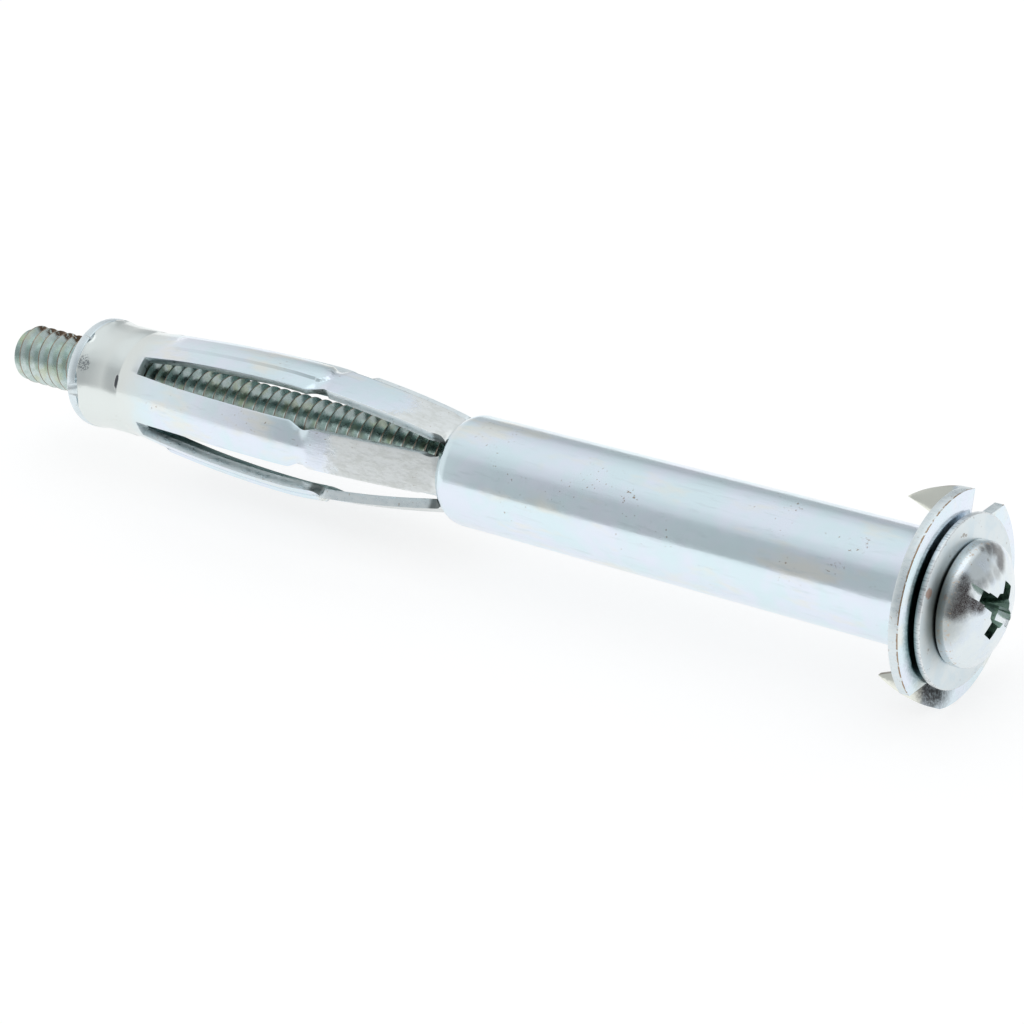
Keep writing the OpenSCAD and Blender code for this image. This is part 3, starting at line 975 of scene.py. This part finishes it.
class Finish:
    """A metal whose colour, roughness and relief are worked out by its nodes.

    A share is a socket from 0 to 1 that says where something is. Noise is given by the
    width of its patches in millimetres, its detail, its roughness and its stretch.
    """

    def __init__(self, name, colour):
        self.material = bpy.data.materials.new(name)
        self.material.use_nodes = True
        self.tree = self.material.node_tree
        self.place = self.node("TexCoord").outputs["Object"]
        self.colour = colour
        self.relief = None

    def node(self, kind, inputs=(), **settings):
        return wired(self.tree, kind, inputs, **settings)

    # Values

    def calc(self, operation, first, second):
        """A sum, product or other sum of two values, each a socket or a number."""
        return self.node("Math", {0: first, 1: second}, operation=operation).outputs["Value"]

    def both(self, first, second):
        """The share where both of two shares are."""
        return self.calc("MULTIPLY", first, second)

    def any_of(self, shares):
        """The share where any of several shares is."""
        whole = shares[0]
        for share in shares[1:]:
            whole = self.calc("MAXIMUM", whole, share)
        return whole

    def between(self, value, low, high, least=0.0, most=1.0):
        """Maps a value from one range to another, and holds it there."""
        return self.node("MapRange", {"From Min": low, "From Max": high, "To Min": least,
                                      "To Max": most, "Value": value},
                         interpolation_type="SMOOTHSTEP").outputs["Result"]

    def past(self, value, start, end, least=0.0, most=1.0):
        """The share of the way that a distance has gone between two, in millimetres."""
        return self.between(value, start * MM, end * MM, least, most)

    def vector(self, operation, first, second):
        """A vector sum of a socket and a fixed vector."""
        return self.node("VectorMath", {0: first, 1: second}, operation=operation).outputs["Vector"]

    def vector_length(self, vector):
        return self.node("VectorMath", {0: vector}, operation="LENGTH").outputs["Value"]

    # Places on the piece

    def along(self):
        """The distance along the axis, in metres."""
        return self.node("SeparateXYZ", {"Vector": self.place}).outputs["X"]

    def off_axis(self):
        """The distance off the axis, in metres."""
        return self.vector_length(self.vector("MULTIPLY", self.place, (0, 1, 1)))

    def on_barb(self, s, at):
        """The share on the barbs behind the flange, off the tube."""
        x = self.along()
        end = -BARB_COAT * s.barb_len
        behind = self.both(self.past(x, -0.3, -0.7), self.past(x, end - s.barb_len / 2, end))
        return self.both(behind, self.past(self.off_axis(), at.tube_r + 0.3, at.tube_r + 0.5))

    def spot(self, clock, radius, height, along, across, swing=0.8, soft=0.0):
        """The share on a ragged patch about a point, of these half sizes in millimetres."""
        turn = math.radians(clock)
        middle = (height * MM, radius * math.sin(turn) * MM, -radius * math.cos(turn) * MM)
        offset = self.vector("SUBTRACT", self.place, middle)
        shares = self.vector("DIVIDE", offset, (along * MM, across * MM, across * MM))
        distance = self.ragged(self.vector_length(shares), swing, 0.25)
        return self.between(distance, 1.15 + soft, 0.75 - soft)

    def on_dome(self, marks, s, at):
        """The share on a row of soft marks on the head's dome."""
        spots = []
        for clock, radius, along, across in marks:
            drop = (radius / (s.head_d / 2)) ** 2 * (s.head_h - s.head_side) * DOME_DROP
            spots.append(self.spot(clock, radius, at.dome_z - drop, along, across, 0.5, 0.4))
        return self.any_of(spots)

    # Noise

    def noise(self, size, detail=3, rough=0.6, stretch=None):
        """Noise over the piece, stretched where the pattern runs along it."""
        place = self.place
        if stretch:
            place = self.node("Mapping", {"Scale": stretch, "Vector": place}).outputs["Vector"]
        return self.node("TexNoise", {"Scale": 1 / (size * MM), "Detail": detail,
                                      "Roughness": rough, "Vector": place}).outputs["Fac"]

    def patchy(self, noise, low, high, least=0.0, most=1.0):
        """The share that noise, given by its numbers, turns on between two levels."""
        return self.between(self.noise(*noise), low, high, least, most)

    def ragged(self, value, swing, size):
        """A value swung either way by noise, so that what follows it has a ragged edge."""
        swung = self.calc("MULTIPLY", self.calc("SUBTRACT", self.noise(size, 3, 0.65), 0.5), swing)
        return self.calc("ADD", value, swung)

    # Colour and relief

    def mixed(self, share, first, second):
        """Two colours mixed, each a socket or a linear colour."""
        return self.node("Mix", {"Factor": share, MIX_A: first, MIX_B: second},
                         data_type="RGBA").outputs[MIX_RESULT]

    def cover(self, share, colour):
        """Covers the colour so far with another, where the share is."""
        self.colour = self.mixed(share, self.colour, colour)

    def raise_by(self, height, microns):
        """Adds relief this many thousandths of a millimetre high."""
        inputs = {"Distance": microns * 1e-6, "Height": height}
        if self.relief:
            inputs["Normal"] = self.relief
        self.relief = self.node("Bump", inputs).outputs["Normal"]

    def done(self, roughness):
        """Wires the colour, the roughness and the relief into the shader."""
        shader = self.tree.nodes["Principled BSDF"]
        shader.inputs["Metallic"].default_value = 1
        self.tree.links.new(self.colour, shader.inputs["Base Color"])
        self.tree.links.new(roughness, shader.inputs["Roughness"])
        if self.relief:
            self.tree.links.new(self.relief, shader.inputs["Normal"])
        return self.material


def plate_material(colours, s, at):
    """Bright zinc plate with clouds of tint, drawn lines, pits, stains and coined flats, and
    painted shade in the lower barb's notch and beside the washer.
    """
    zinc, stain_and_shade, scuff_and_shade = colours.zinc, colours.stain_and_shade, colours.scuff_and_shade
    f = Finish("zinc_plate_outer", tinted(zinc, 1.02, 0.98, 1.03))
    x = f.along()
    # Tints and drawn lines of the plate, and its warmer far end
    f.cover(f.patchy((3.5,), 0.35, 0.65), tinted(zinc, 0.94, 1, 1))
    warm = f.patchy((2.4, 3, 0.6, (0.35, 1, 1)), 0.52, 0.7, 0, 0.8)
    f.cover(warm, tinted(zinc, 1.08, 0.98, 0.87))
    drawn = f.patchy((0.4, 3, 0.7, (0.12, 1, 1)), 0.55, 0.75, 0, 0.5)
    f.cover(drawn, tinted(zinc, 0.84, 0.86, 0.87))
    f.cover(f.past(f.ragged(x, 2 * MM, 1.5), at.slot_end_z + 2, at.cup_z + 0.5),
            tinted(zinc, 1, 0.95, 0.88))
    # Coined flats, which end early on the top leg
    past_neck = f.past(f.ragged(x, 0.3 * MM, 0.4), at.neck_z + 0.25, at.neck_z + 0.05)
    before_fold = f.past(f.ragged(x, 5 * MM, 1.8), at.fold_z + 2, at.fold_z + 3.6)
    top_end = f.spot(180, 4.5, at.fold_z + 2.5, 5.5, 2.2, 0.5)
    coined = f.both(f.both(past_neck, before_fold), f.between(top_end, 0, 1, 1, 0))
    streaks = f.patchy((0.5, 4, 0.7, (0.5, 1, 1)), 0.38, 0.68)
    f.cover(coined, f.mixed(streaks, colours.coined, tinted(colours.coined, 0.88, 0.88, 0.86)))
    # Brown specks in patches, and warmer barbs
    f.cover(f.both(f.patchy((0.2, 1, 0.4), 0.72, 0.77, 0, 0.7), f.patchy((5, 1, 0.5), 0.52, 0.6)),
            tinted(stain_and_shade, 1.5, 1.5, 1.5))
    f.cover(f.on_barb(s, at), tinted(zinc, 1.12, 1.02, 0.88))
    # Painted shade, grainy, in the notch of the lower barb, and a dark teal ring beside the washer
    # painted as the washer's shade and reflection
    f.cover(f.both(f.spot(math.degrees(s.barb_clock), 6.5, 0, 1.05, 1.5, 0.5, 0.3),
                   f.patchy((0.12, 3, 0.7, (1, 1, 0.4)), 0.32, 0.6, 0.75, 1)),
            tinted(scuff_and_shade, 0.2, 0.19, 0.19))
    ring = f.past(f.ragged(f.off_axis(), 0.7 * MM, 0.3), 7.45, 6.2, 0, 0.95)
    washer_shade_reflection = f.both(f.spot(-105, 6.4, s.wall, 2, 5.5, 0.3, 0.3), ring)
    f.cover(f.both(washer_shade_reflection, f.past(x, s.wall - 0.1, s.wall - 0.05)),
            tinted(scuff_and_shade, 0.3, 0.55, 0.54))
    # Scuffs on the cup, pits in the tube and a staking mark at the cup's step
    f.cover(f.both(f.spot(-131, at.tube_r, at.end_z + 0.5, 0.6, 0.7),
                   f.patchy((0.14, 2, 0.7), 0.42, 0.56)), scuff_and_shade)
    pits = f.patchy((0.28, 3, 0.6, (0.7, 1, 1)), 0.57, 0.66, 0, 0.8)
    f.cover(f.both(f.any_of([f.spot(*pit) for pit in PITS]), pits), tinted(stain_and_shade, 1.4, 1.4, 1.4))
    staked = f.spot(-121, at.tube_r, at.cup_z - 0.05, 0.16, 0.62, 0.7)
    f.cover(staked, tinted(scuff_and_shade, 0.35, 0.34, 0.36))
    f.raise_by(f.noise(0.25, 2, 0.6, (0.1, 1, 1)), 3.2)
    f.raise_by(f.noise(0.8, 3, 0.6, (0.5, 1, 1)), 4.5)
    f.raise_by(f.both(streaks, coined), 8)
    f.raise_by(f.both(f.noise(0.1, 2, 0.7), staked), 40)
    shine = f.patchy((1.2,), 0.3, 0.7, 0.14, 0.2)
    return f.done(f.any_of([shine, f.both(coined, 0.4)]))


def sheared_material(colours, s, at):
    """Rough sheared wall of the sheet: pale blue, brown in places, dark at the hinges."""
    f = Finish("zinc_sheared_edge", colours.sheared)
    streaks = f.noise(0.3, 3, 0.7, (0.4, 1, 1))
    brown = tinted(colours.stain_and_shade, 1.6, 1.6, 1.6)
    x = f.along()
    f.cover(f.between(streaks, 0.35, 0.65), tinted(colours.sheared, 1.12, 1.08, 1.06))
    f.cover(f.patchy((0.3, 3, 0.7), 0.62, 0.7, 0, 0.5), brown)
    # A broken brown line along the front of the flange's rim
    f.cover(f.both(f.past(f.ragged(x, 0.16 * MM, 0.2), s.wall - 0.14, s.wall - 0.09),
                   f.patchy((0.5, 2, 0.6), 0.4, 0.5)), brown)
    f.cover(f.on_barb(s, at), tinted(colours.stain_and_shade, 0.8, 0.9, 0.9))
    for middle, half, _ in HINGE_NOTCHES:
        place = at.neck_z - middle
        half = min(half, 0.75)
        f.cover(f.both(f.past(x, place - half, place - 0.5 * half),
                       f.past(x, place + half, place + 0.5 * half, 0, 0.85)),
                tinted(colours.scuff_and_shade, 0.4, 0.42, 0.4))
    f.raise_by(streaks, 22)
    return f.done(f.between(streaks, 0.3, 0.7, 0.26, 0.42))


def shaded_inner_material(colours):
    """Rougher plate, painted dark as the shade inside the sleeve, on the faces that look inwards,
    with drawn lines.
    """
    f = Finish("zinc_inside_shaded", colours.inner)
    clouds = f.noise(1.8, 3, 0.6, (0.3, 1, 1))
    f.cover(f.between(clouds, 0.35, 0.65), tinted(colours.inner, 1.6, 1.6, 1.5))
    f.raise_by(clouds, 4)
    return f.done(f.between(clouds, 0.3, 0.7, 0.22, 0.35))


def worn_edge_material(colours, s, at):
    """Thin line where the plate is worn along an edge, brown on the flange's front edge."""
    f = Finish("zinc_worn_edge", tinted(colours.zinc, 0.95, 0.94, 0.92))
    mottle = f.noise(0.5, 3, 0.7)
    f.cover(f.between(mottle, 0.5, 0.6), tinted(colours.stain_and_shade, 1.8, 1.8, 1.8))
    on_front = f.past(f.along(), s.wall - 0.2, s.wall - 0.1)
    f.cover(f.both(on_front, f.between(mottle, 0.36, 0.5)), colours.stain_and_shade)
    f.cover(f.on_barb(s, at), tinted(colours.stain_and_shade, 0.8, 0.9, 0.9))
    f.raise_by(mottle, 4)
    return f.done(f.between(mottle, 0.3, 0.7, 0.25, 0.4))


def sleeve_materials(s, at, colours):
    """The sleeve's materials in the order of their numbers."""
    return [plate_material(colours, s, at), sheared_material(colours, s, at),
            shaded_inner_material(colours), worn_edge_material(colours, s, at)]


def bush_material(colours):
    """Turned plate with faint clouds and a few brown stains."""
    f = Finish("zinc_turned_bush", colours.bush)
    clouds = f.noise(1.2)
    f.cover(f.between(clouds, 0.4, 0.65), tinted(colours.bush, 0.94, 0.95, 0.94))
    f.cover(f.patchy((0.5, 2, 0.6), 0.64, 0.72, 0, 0.4), tinted(colours.stain_and_shade, 2, 2, 2))
    f.raise_by(f.noise(0.2, 2, 0.6), 2)
    return f.done(f.between(clouds, 0.3, 0.7, 0.2, 0.3))


def washer_material(colours, s, sleeve):
    """Satin plate with stains, the head's shade and reflection painted beside the head, a rusty
    place, and a rim painted a little brighter as a highlight, with dark ticks.
    """
    f = Finish("zinc_washer", colours.washer)
    clouds = f.noise(1.6)
    f.cover(f.between(clouds, 0.4, 0.65), tinted(colours.washer, 0.93, 0.97, 1))
    f.cover(f.patchy((0.6, 2, 0.6), 0.68, 0.74, 0, 0.6), colours.stain_and_shade)
    top = sleeve.wall + s.washer_t + s.washer_dish
    washer_r, head_r = s.washer_d / 2, s.head_d / 2
    # Painted shade and reflection of the head on the washer's face beside it
    shade = f.past(f.ragged(f.off_axis(), 0.3 * MM, 0.8), washer_r + 0.4, head_r - 0.2, 0.1, 0.95)
    f.cover(f.both(f.spot(-118, head_r + 0.8, top, 3, 4.4, 0.2, 0.4), shade),
            tinted(colours.washer, 0.22, 0.22, 0.2))
    rust = f.spot(-127, washer_r - 0.55, top, 1, 0.4, 1.2)
    f.cover(f.between(rust, 0, 1, 0, 0.7), tinted(colours.stain_and_shade, 1.6, 1.2, 1.2))
    # A rim painted a little brighter, as a highlight, with dark ticks
    ticks = f.patchy((0.14, 2, 0.6, (0.2, 1, 1)), 0.5, 0.64, 0, 0.6)
    f.cover(f.past(f.off_axis(), washer_r - 0.12, washer_r - 0.06),
            f.mixed(ticks, tinted(colours.washer, 1.06, 1.03, 1.02), colours.scuff_and_shade))
    f.raise_by(f.noise(0.16, 2, 0.6), 2)
    return f.done(f.between(clouds, 0.3, 0.7, 0.28, 0.36))


def thread_material(colours, s, at):
    """Blue-green plate in the thread, yellowish in patches, with dark brown patches near the tip
    painted as a reflection.
    """
    f = Finish("zinc_thread", colours.screw)
    clouds = f.noise(0.7)
    f.cover(f.between(clouds, 0.4, 0.65), tinted(colours.screw, 0.82, 0.87, 0.85))
    f.cover(f.patchy((1.4, 2, 0.5), 0.52, 0.66, 0, 0.6), tinted(colours.screw, 1.02, 0.94, 0.72))
    # Painted reflection: dark brown patches on the top far side of the tip
    f.cover(f.both(f.spot(150, s.screw_d / 2, at.tip_z + 4.5, 5.5, 0.9, 0.5),
                   f.patchy((0.5, 2, 0.6), 0.36, 0.46)), tinted(colours.stain_and_shade, 0.55, 0.5, 0.45))
    f.raise_by(f.noise(0.15, 2, 0.6), 2)
    return f.done(f.between(clouds, 0.3, 0.7, 0.22, 0.32))


def crest_material(colours):
    """Thin line along the crest of the thread: a brown coat, painted dark as the shade behind each
    crest.
    """
    f = Finish("zinc_dark_crest", tinted(colours.stain_and_shade, 1, 1.2, 1.4))
    mottle = f.noise(0.8, 3, 0.7)
    f.cover(f.between(mottle, 0.4, 0.62), tinted(colours.stain_and_shade, 1.9, 2.2, 2.6))
    return f.done(f.between(mottle, 0.3, 0.7, 0.35, 0.5))


def head_material(colours, s, at):
    """Pale plate with brown specks, a painted shade on the side of the head, and painted
    reflections: a rough dark wedge beside the slot and a grey arc.
    """
    f = Finish("zinc_head", colours.head)
    clouds = f.noise(1.3)
    f.cover(f.between(clouds, 0.4, 0.65), tinted(colours.head, 0.96, 0.98, 1.03))
    f.cover(f.patchy((0.22, 2, 0.6), 0.71, 0.77, 0, 0.6), tinted(colours.stain_and_shade, 2.4, 2.3, 2.1))
    head_r = s.head_d / 2
    # Painted shade and reflection on the head's side wall and blend, over one side
    shade = f.spot(-112, head_r, at.head_z + 0.5, 1.4, 2.3, 0.2, 0.45)
    f.cover(f.between(shade, 0, 1, 0, 0.6), tinted(colours.head, 0.35, 0.35, 0.32))
    # Painted reflections: the dark wedge, broken by light flecks, and the grey arcs
    fleck = f.patchy((0.07, 2, 0.7), 0.35, 0.6, 0.7, 1)
    wedge = f.on_dome(DARK_REFLECTION_WEDGE, s, at)
    f.cover(f.both(wedge, fleck), colours.reflection_dark)
    grey = f.any_of([f.on_dome(GREY_REFLECTION_ARC, s, at), f.both(f.on_dome(FAINT_REFLECTION_ARC, s, at), 0.5)])
    f.cover(f.both(grey, fleck), tinted(colours.reflection_dark, 3, 3.7, 3.7))
    f.cover(f.on_dome(BROWN_SPECK, s, at), colours.stain_and_shade)
    f.cover(f.both(f.past(f.off_axis(), head_r - 0.25, head_r - 0.1),
                   f.patchy((0.25, 2, 0.6), 0.56, 0.66, 0, 0.5)),
            tinted(colours.stain_and_shade, 2.6, 2.5, 2.3))
    f.raise_by(f.noise(0.14, 2, 0.6), 2.5)
    f.raise_by(f.both(fleck, wedge), 10)
    return f.done(f.any_of([f.between(clouds, 0.3, 0.7, 0.18, 0.28), f.both(wedge, 0.4)]))


def recess_shade_material(colours):
    """Green plate painted dark as the shade inside the recess."""
    f = Finish("zinc_recess_shaded", colours.recess)
    clouds = f.noise(0.5)
    f.cover(f.between(clouds, 0.35, 0.65), tinted(colours.recess, 2, 2, 1.8))
    f.raise_by(clouds, 5)
    return f.done(f.between(clouds, 0.3, 0.7, 0.25, 0.4))


def screw_materials(s, at, colours):
    """The screw's materials in the order of their numbers."""
    return [thread_material(colours, s, at), head_material(colours, s, at),
            recess_shade_material(colours), crest_material(colours)]


# ---------------------------------------------------------------- stage

def emptied(owner):
    """The node tree of a material or a world, with its nodes taken out."""
    owner.use_nodes = True
    owner.node_tree.nodes.clear()
    return owner.node_tree


def build_floor(stage, low):
    floor = added(bpy.ops.mesh.primitive_plane_add, "studio_floor", size=stage.floor_size,
                  location=(0, 0, low))
    apply_place(floor)
    material = bpy.data.materials.new("studio_floor")
    floor.data.materials.append(material)
    tree = emptied(material)
    seen = wired(tree, "LightPath").outputs
    mirrored = wired(tree, "Math", {0: seen["Is Glossy Ray"], 1: seen["Is Transmission Ray"]},
                     operation="MAXIMUM")
    to_the_eye = wired(tree, "Math", {0: seen["Is Camera Ray"], 1: mirrored.outputs["Value"]},
                       operation="MAXIMUM")
    strength = wired(tree, "Math", {0: to_the_eye.outputs["Value"], 1: FLOOR_GLOW},
                     operation="MULTIPLY")
    paint = wired(tree, "BsdfDiffuse", {"Color": (FLOOR_PAINT, FLOOR_PAINT, FLOOR_PAINT)})
    glow = wired(tree, "Emission", {"Color": (1, 1, 1), "Strength": strength.outputs["Value"]})
    both = wired(tree, "AddShader", {0: paint.outputs["BSDF"], 1: glow.outputs["Emission"]})
    wired(tree, "OutputMaterial", {"Surface": both.outputs["Shader"]})


def build_tent(stage):
    """A light tent: pale below and on top with a grey band between, and white to the eye."""
    world = bpy.context.scene.world or bpy.data.worlds.new("studio_tent")
    bpy.context.scene.world = world
    tree = emptied(world)
    toward = wired(tree, "TexCoord").outputs["Generated"]
    turn = wired(tree, "Mapping", {"Rotation": (-stage.tent_tilt, 0, 0), "Vector": toward})
    sides = wired(tree, "SeparateXYZ", {"Vector": turn.outputs["Vector"]}).outputs
    height = wired(tree, "MapRange", {"From Min": -1, "Value": sides["Z"]})
    ramp = wired(tree, "ValToRGB", {"Fac": height.outputs["Result"]})
    # Light of the tent by its elevation, and how much bluer than grey it is there
    stops = [(-13, 0.75, 1.02), (-8, stage.band, 1.04), (27, stage.band, 1.06),
             (42, stage.top * 0.85, 1.05), (55, stage.top, 1.04)]
    ramp.color_ramp.interpolation = "EASE"
    while len(ramp.color_ramp.elements) < len(stops):
        ramp.color_ramp.elements.new(0.5)
    for stop, (elevation, light, blue) in zip(ramp.color_ramp.elements, stops):
        stop.position = (math.sin(math.radians(elevation)) + 1) / 2
        stop.color = (light, light * (1 + (blue - 1) * 0.6), light * blue, 1)
    beyond_tip = wired(tree, "MapRange", {"From Min": TIP_SIDE[0], "From Max": TIP_SIDE[1],
                                          "Value": sides["X"]})
    lit = wired(tree, "Mix", {"Factor": beyond_tip.outputs["Result"], MIX_A: ramp.outputs["Color"],
                              MIX_B: (TIP_LIGHT, TIP_LIGHT, TIP_LIGHT)},
                data_type="RGBA", blend_type="LIGHTEN")
    tent = wired(tree, "Background", {"Color": lit.outputs[MIX_RESULT]})
    white = wired(tree, "Background", {"Color": (1, 1, 1)})
    seen = wired(tree, "LightPath").outputs["Is Camera Ray"]
    mix = wired(tree, "MixShader", {"Fac": seen, 1: tent.outputs["Background"],
                                    2: white.outputs["Background"]})
    wired(tree, "OutputWorld", {"Surface": mix.outputs["Shader"]})


def build_camera(stage):
    camera = added(bpy.ops.object.camera_add, "studio_camera", location=stage.camera_place,
                   rotation=stage.camera_turn)
    camera.data.lens = stage.lens
    camera.data.sensor_width = 36
    camera.data.clip_start = 0.01
    camera.data.clip_end = 20
    bpy.context.scene.camera = camera


def build_softbox():
    light = added(bpy.ops.object.light_add, "overhead_softbox", type="AREA",
                  location=(0.05, 0.1, 0.7))
    light.data.shape = "SQUARE"
    light.data.size = 0.6
    light.data.energy = 0.35


# ---------------------------------------------------------------- operators

def chosen(scene):
    """The sizes of the screw and of the sleeve in millimetres, and the colours."""
    return in_mm(scene.anchor_screw), in_mm(scene.anchor_sleeve), scene.anchor_colours


class ANCHOR_OT_add_sleeve(bpy.types.Operator):
    """Adds the barbed, slotted sleeve with its folding legs"""
    bl_idname = "anchor.add_sleeve"
    bl_label = "Add Sleeve"

    def execute(self, context):
        piece = build_sleeve(*chosen(context.scene)[1:])
        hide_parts("sleeve")
        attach(piece, "anchor_body")
        return {"FINISHED"}


class ANCHOR_OT_add_bush(bpy.types.Operator):
    """Adds the threaded bush that the sleeve's cup holds"""
    bl_idname = "anchor.add_bush"
    bl_label = "Add Bush"

    def execute(self, context):
        piece = build_bush(*chosen(context.scene))
        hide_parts("threaded_bush")
        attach(piece, "anchor_body")
        return {"FINISHED"}


class ANCHOR_OT_add_washer(bpy.types.Operator):
    """Adds the dished washer under the screw's head"""
    bl_idname = "anchor.add_washer"
    bl_label = "Add Washer"

    def execute(self, context):
        piece = build_washer(*chosen(context.scene))
        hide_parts("washer")
        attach(piece, "washer_carrier")
        return {"FINISHED"}


class ANCHOR_OT_add_screw(bpy.types.Operator):
    """Adds the long pan-head screw with its rolled thread and cross recess"""
    bl_idname = "anchor.add_screw"
    bl_label = "Add Screw"

    def execute(self, context):
        piece = build_screw(*chosen(context.scene))
        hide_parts("screw")
        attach(piece, "screw_body")
        return {"FINISHED"}


class ANCHOR_OT_set_stage(bpy.types.Operator):
    """Sets the camera, the pale floor and the soft light round the anchor"""
    bl_idname = "anchor.set_stage"
    bl_label = "Set Stage"

    def execute(self, context):
        stage = context.scene.anchor_stage
        build_camera(stage)
        build_floor(stage, cad_box[0][2])
        build_tent(stage)
        build_softbox()
        return {"FINISHED"}


OPERATORS = (ANCHOR_OT_set_stage, ANCHOR_OT_add_sleeve, ANCHOR_OT_add_bush,
             ANCHOR_OT_add_washer, ANCHOR_OT_add_screw)


class VIEW3D_PT_anchor(bpy.types.Panel):
    """Lists the anchor's pieces and its stage"""
    bl_idname = "VIEW3D_PT_anchor"
    bl_label = "Hollow Wall Anchor"
    bl_space_type = "VIEW_3D"
    bl_region_type = "UI"
    bl_category = "Anchor"

    def draw(self, context):
        for operator in OPERATORS:
            self.layout.operator(operator.bl_idname)


PROPERTY_GROUPS = {
    "anchor_sleeve": AnchorSleeveSizes,
    "anchor_screw": AnchorScrewSizes,
    "anchor_colours": AnchorColours,
    "anchor_stage": AnchorStage,
}


def register():
    for name, group in PROPERTY_GROUPS.items():
        bpy.utils.register_class(group)
        setattr(bpy.types.Scene, name, PointerProperty(type=group))
    for operator in OPERATORS:
        bpy.utils.register_class(operator)
    bpy.utils.register_class(VIEW3D_PT_anchor)


def unregister():
    bpy.utils.unregister_class(VIEW3D_PT_anchor)
    for operator in reversed(OPERATORS):
        bpy.utils.unregister_class(operator)
    for name, group in PROPERTY_GROUPS.items():
        delattr(bpy.types.Scene, name)
        bpy.utils.unregister_class(group)


def plain(box):
    """A box as plain lists of numbers."""
    return [[float(value) for value in corner] for corner in box]


def main():
    register()
    bpy.context.scene.view_settings.view_transform = "Standard"
    bpy.ops.anchor.set_stage()
    bpy.ops.anchor.add_sleeve()
    bpy.ops.anchor.add_bush()
    bpy.ops.anchor.add_washer()
    bpy.ops.anchor.add_screw()
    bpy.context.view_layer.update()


if __name__ == "__main__":
    main()
